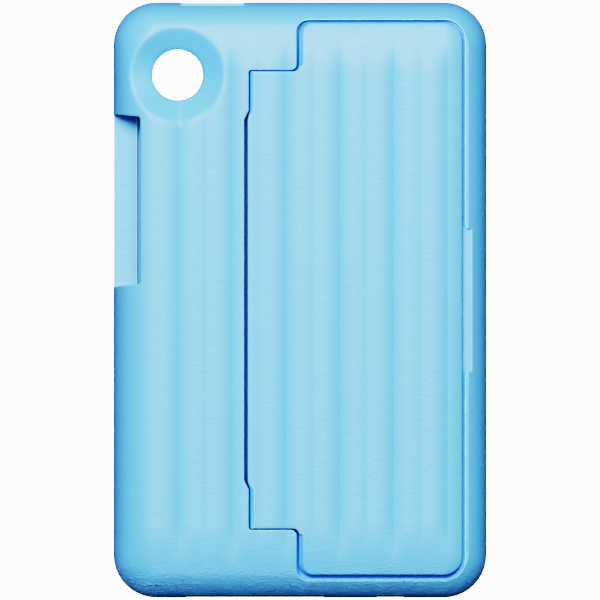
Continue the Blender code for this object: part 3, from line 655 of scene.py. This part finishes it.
def build_cover(look):
    cover = pillow("kickstand_skin")
    keeper = rim_solid("keeper", kickstand_outline(), UNDERSIDE, -1, PANEL_SIDE_FILLET)
    combined(cover, [keeper], "INTERSECT")
    nose = [(HINGE.x + x, HINGE.z + z) for x, z in NOSE_RELIEF]
    tools = [
        prism("core", core_outline(GAP), UNDERSIDE - BEYOND, CORE_HIGH + GAP),
        hinge_rod(BARREL_RADIUS + BARREL_GAP, BARREL_HALF_LENGTH + GAP),
        hinge_rod(PIN_HOLE_RADIUS, HALF_LENGTH),
        along_y("nose", nose, -HALF_LENGTH, HALF_LENGTH),
        swing_clearance(),
    ]
    combined(cover, tools, "DIFFERENCE")
    smooth(cover)
    dress(cover, look, "kickstand", "kickstand_cover")


# ------------------------------------------------------------------- materials

def node_material(name, colour, roughness=0.5):
    made = bpy.data.materials.new(name)
    made.use_nodes = True
    shader = made.node_tree.nodes["Principled BSDF"]
    shader.inputs["Base Color"].default_value = (*colour, 1.0)
    shader.inputs["Roughness"].default_value = roughness
    return made, made.node_tree, shader


def shades(colour, shares):
    """The colour times each share."""
    return [tuple(min(1.0, channel * share) for channel in colour) for share in shares]


def texture(tree, kind, vector, scale, **values):
    """A noise or voronoi texture of the given scale, read at a vector."""
    made = tree.nodes.new("ShaderNodeTex" + kind)
    made.inputs["Scale"].default_value = scale
    for name, value in values.items():
        made.inputs[name].default_value = value
    tree.links.new(vector, made.inputs["Vector"])
    return made


def noise(tree, vector, scale, **values):
    return texture(tree, "Noise", vector, scale, **values).outputs["Fac"]


def parts_of(tree, vector):
    """The outputs X, Y and Z of a vector."""
    made = tree.nodes.new("ShaderNodeSeparateXYZ")
    tree.links.new(vector, made.inputs["Vector"])
    return made.outputs


def spread(tree, value, inputs, outputs=(0.0, 1.0)):
    """A value read on one range and given back on another, clamped to it."""
    made = tree.nodes.new("ShaderNodeMapRange")
    made.inputs["From Min"].default_value, made.inputs["From Max"].default_value = inputs
    made.inputs["To Min"].default_value, made.inputs["To Max"].default_value = outputs
    tree.links.new(value, made.inputs["Value"])
    return made.outputs["Result"]


def arithmetic(tree, operation, *values):
    """One sum on values, each a number or a link."""
    made = tree.nodes.new("ShaderNodeMath")
    made.operation = operation
    for socket, value in zip(made.inputs, values):
        if isinstance(value, float):
            socket.default_value = value
        else:
            tree.links.new(value, socket)
    return made.outputs[0]


def blended(tree, factor, first, second):
    """A colour between two, each a colour or a link."""
    made = tree.nodes.new("ShaderNodeMix")
    made.data_type = "RGBA"
    tree.links.new(factor, made.inputs["Factor"])
    for socket, value in ((made.inputs["A"], first), (made.inputs["B"], second)):
        if isinstance(value, tuple):
            socket.default_value = (*value, 1.0)
        else:
            tree.links.new(value, socket)
    return made.outputs["Result"]


def bumped(tree, height, depth, strength, under=None):
    """A normal raised by a height, of a given or linked strength, on top of another normal."""
    made = tree.nodes.new("ShaderNodeBump")
    made.inputs["Distance"].default_value = depth
    if isinstance(strength, float):
        made.inputs["Strength"].default_value = strength
    else:
        tree.links.new(strength, made.inputs["Strength"])
    tree.links.new(height, made.inputs["Height"])
    if under:
        tree.links.new(under, made.inputs["Normal"])
    return made.outputs["Normal"]


def nearness(tree, distance, inside=False):
    """How open a point is to its surroundings, or with inside, how far it is from an outer edge."""
    made = tree.nodes.new("ShaderNodeAmbientOcclusion")
    made.samples = OPENNESS_SAMPLES
    made.inside = inside
    made.only_local = inside
    made.inputs["Distance"].default_value = distance
    return made.outputs["AO"]


def leather_bump(tree, stretched, creases, along):
    """Fine grain everywhere, and wrinkles towards the low end."""
    grain = texture(tree, "Voronoi", stretched, GRAIN_SCALE).outputs["Distance"]
    fine = bumped(tree, arithmetic(tree, "ADD", grain, creases), GRAIN_DEPTH, GRAIN_STRENGTH)
    folds = noise(tree, stretched, FOLD_SCALE, Detail=3.0, Distortion=1.5)
    folds = arithmetic(tree, "ABSOLUTE", arithmetic(tree, "SUBTRACT", folds, 0.5))
    strength = spread(tree, along, (WRINKLES_FROM, WRINKLES_TO), (0.0, WRINKLE_STRENGTH))
    return bumped(tree, folds, WRINKLE_DEPTH, strength, fine)


def skin_colour_and_painted_light(tree, coordinates, place, opened, colour):
    """Mottled, with painted shade on steep sides and in crevices, the darkest painted shade in the trough,
    and a painted highlight on edges.
    """
    mottle = noise(tree, coordinates["Object"], MOTTLE_SCALE)
    skin = blended(tree, mottle, *shades(colour, MOTTLE_SHARES))
    level = arithmetic(tree, "ABSOLUTE", parts_of(tree, coordinates["Normal"])["Z"])
    # painted shade: steep faces get a darker copy of the colour
    steep_shade = tuple(channel * share for channel, share in zip(colour, STEEP_SHADE_SHARES))
    skin = blended(tree, spread(tree, level, STEEP_SHADE_RANGE), steep_shade, skin)
    # painted highlight: near convex edges the colour turns paler
    edge = spread(tree, nearness(tree, EDGE_HIGHLIGHT_REACH, inside=True), EDGE_HIGHLIGHT_RANGE, (1.0, 0.0))
    skin = blended(tree, edge, skin, EDGE_HIGHLIGHT_COLOUR)
    # painted shade: darkest near the trough's level
    from_trough = arithmetic(tree, "ABSOLUTE", arithmetic(tree, "SUBTRACT", place["Z"], TROUGH_TOP))
    crevice_shade = blended(tree, spread(tree, from_trough, TROUGH_SHADE_RANGE), TROUGH_SHADE_COLOUR, CREVICE_SHADE_COLOUR)
    return blended(tree, opened, crevice_shade, skin)


def soft_plastic(name, colour):
    """Soft moulded plastic: mottled and finely grained, with painted shade (deeper blue) in crevices and a
    painted highlight (paler) on its edges.
    """
    made, tree, shader = node_material(name, colour)
    shader.inputs["Specular IOR Level"].default_value = 1.0
    coordinates = tree.nodes.new("ShaderNodeTexCoord").outputs
    place = parts_of(tree, coordinates["Object"])
    stretch = tree.nodes.new("ShaderNodeMapping")
    stretch.inputs["Scale"].default_value = GRAIN_STRETCH
    tree.links.new(coordinates["Object"], stretch.inputs["Vector"])
    stretched = stretch.outputs["Vector"]
    creases = noise(tree, stretched, CREASE_SCALE, Detail=4.0, Distortion=0.6)
    tree.links.new(leather_bump(tree, stretched, creases, place["Y"]), shader.inputs["Normal"])

    # painted shade mask: how open each point is; closed-in places get the deeper blue colour, and their
    # roughness is dulled
    opened = spread(tree, nearness(tree, CREVICE_REACH), CREVICE_RANGE)
    skin = skin_colour_and_painted_light(tree, coordinates, place, opened, colour)
    tree.links.new(skin, shader.inputs["Base Color"])
    sheen = spread(tree, creases, (0.0, 1.0), SKIN_ROUGHNESS)
    closed = arithmetic(tree, "SUBTRACT", 1.0, opened)
    dulled = arithmetic(tree, "MULTIPLY", closed, CREVICE_DULLING)
    tree.links.new(arithmetic(tree, "ADD", sheen, dulled), shader.inputs["Roughness"])
    return made


def hard(name, colour, roughness, metallic=0.0):
    """Hard plastic or metal with slight cloudiness and fine tooling marks."""
    made, tree, shader = node_material(name, colour, roughness)
    shader.inputs["Metallic"].default_value = metallic
    place = tree.nodes.new("ShaderNodeTexCoord").outputs["Object"]
    cloud = noise(tree, place, CLOUD_SCALE, Detail=3.0)
    marks = noise(tree, place, MARK_SCALE)
    skin = blended(tree, cloud, *shades(colour, HARD_MOTTLE_SHARES))
    tree.links.new(skin, shader.inputs["Base Color"])
    glossy, dull = (min(1.0, roughness * share) for share in HARD_GLOSS_SHARES)
    tree.links.new(spread(tree, marks, (0.0, 1.0), (glossy, dull)), shader.inputs["Roughness"])
    tree.links.new(bumped(tree, marks, MARK_DEPTH, MARK_STRENGTH), shader.inputs["Normal"])
    return made


def dress_cad(looks):
    """Give each CAD node that still shows the look whose key is part of its name."""
    for name, node in frame["nodes"].items():
        if node.hide_render:
            continue
        look = next(look for key, look in looks.items() if key in name)
        node.data.materials.clear()
        node.data.materials.append(look)


# --------------------------------------------------------- floor, light, camera

def white_to_camera(tree, lit, white, output):
    """Show the white shader to the camera, and the lit one to everything else."""
    seen = tree.nodes.new("ShaderNodeLightPath")
    mixed = tree.nodes.new("ShaderNodeMixShader")
    white.inputs["Strength"].default_value = WHITE_OUT
    tree.links.new(seen.outputs["Is Camera Ray"], mixed.inputs["Fac"])
    tree.links.new(lit.outputs[0], mixed.inputs[1])
    tree.links.new(white.outputs[0], mixed.inputs[2])
    tree.links.new(mixed.outputs["Shader"], tree.nodes[output].inputs["Surface"])


def floor():
    bpy.ops.mesh.primitive_plane_add(size=FLOOR_SIZE, location=(0, 0, -FLOOR_DROP))
    made = bpy.context.object
    made.name = "floor"
    look, tree, shader = node_material("floor_white", FLOOR_COLOUR, 0.9)
    white_to_camera(tree, shader, tree.nodes.new("ShaderNodeEmission"), "Material Output")
    made.data.materials.append(look)


def soft_box(name, place, width, depth, power, colour=(1, 1, 1)):
    """A rectangular lamp, width along X, that faces the case."""
    lamp = bpy.data.lights.new(name, "AREA")
    lamp.shape = "RECTANGLE"
    lamp.size, lamp.size_y = width, depth
    lamp.energy = power
    lamp.color = colour
    made = bpy.data.objects.new(name, lamp)
    bpy.context.scene.collection.objects.link(made)
    made.location = place
    made.rotation_euler = (-Vector(place)).to_track_quat("-Z", "Y").to_euler()


def dome():
    """Dim, bluish light from all round, a little stronger from above."""
    world = bpy.data.worlds.new("studio")
    bpy.context.scene.world = world
    world.use_nodes = True
    tree = world.node_tree
    ramp = tree.nodes.new("ShaderNodeValToRGB")
    low, high = ramp.color_ramp.elements
    low.position, low.color = DOME_FROM, (*DOME_LOW, 1.0)
    high.position, high.color = 1.0, (*DOME_HIGH, 1.0)
    generated = tree.nodes.new("ShaderNodeTexCoord").outputs["Generated"]
    tree.links.new(parts_of(tree, generated)["Z"], ramp.inputs["Fac"])
    lit = tree.nodes["Background"]
    tree.links.new(ramp.outputs["Color"], lit.inputs["Color"])
    white_to_camera(tree, lit, tree.nodes.new("ShaderNodeBackground"), "World Output")


def lights():
    """A long strip lamp above the case's high end, a cooler one overhead, and a dim dome."""
    soft_box("key", (-0.2, 0.86, 1.9), width=1.6, depth=0.16, power=62.5)
    soft_box("overhead", (-0.1, 0.5, 2.3), width=1.6, depth=0.5, power=13.0, colour=(0.62, 0.82, 1.0))
    dome()


def camera():
    """Square on to the back, from far enough that the view is almost parallel."""
    lens = bpy.data.cameras.new("camera")
    lens.lens = LENS
    lens.sensor_width = SENSOR_WIDTH
    lens.clip_end = VIEW_LIMIT
    made = bpy.data.objects.new("camera", lens)
    bpy.context.scene.collection.objects.link(made)
    view_width = 2 * HALF_LENGTH * VIEW_MARGIN
    made.location = (0, 0, EDGE_HEIGHT + view_width * LENS / SENSOR_WIDTH)
    bpy.context.scene.camera = made
    bpy.context.scene.view_settings.view_transform = "Filmic"
    bpy.context.scene.view_settings.look = "Very High Contrast"


skin_blue = soft_plastic("shell_soft", SKIN_BLUE)
build_shell(skin_blue)
build_cover(skin_blue)
dress_cad({
    "magnet": hard("nickel", (0.70, 0.69, 0.66), 0.25, 1.0),
    "pin": hard("blackened_steel", (0.05, 0.06, 0.08), 0.45, 1.0),
    "screw": hard("screw_steel", (0.55, 0.55, 0.55), 0.4, 1.0),
    "liner": hard("felt", (0.16, 0.18, 0.20), 0.95),
    "plate": hard("plate_blue", (0.12, 0.42, 0.68), 0.4),
    "core": hard("core_blue", (0.2, 0.5, 0.72), 0.45),
    "bracket": hard("bracket_blue", (0.03, 0.13, 0.30), 0.45),
    "bush": hard("bush_grey", (0.10, 0.14, 0.20), 0.35),
})
floor()
lights()
camera()
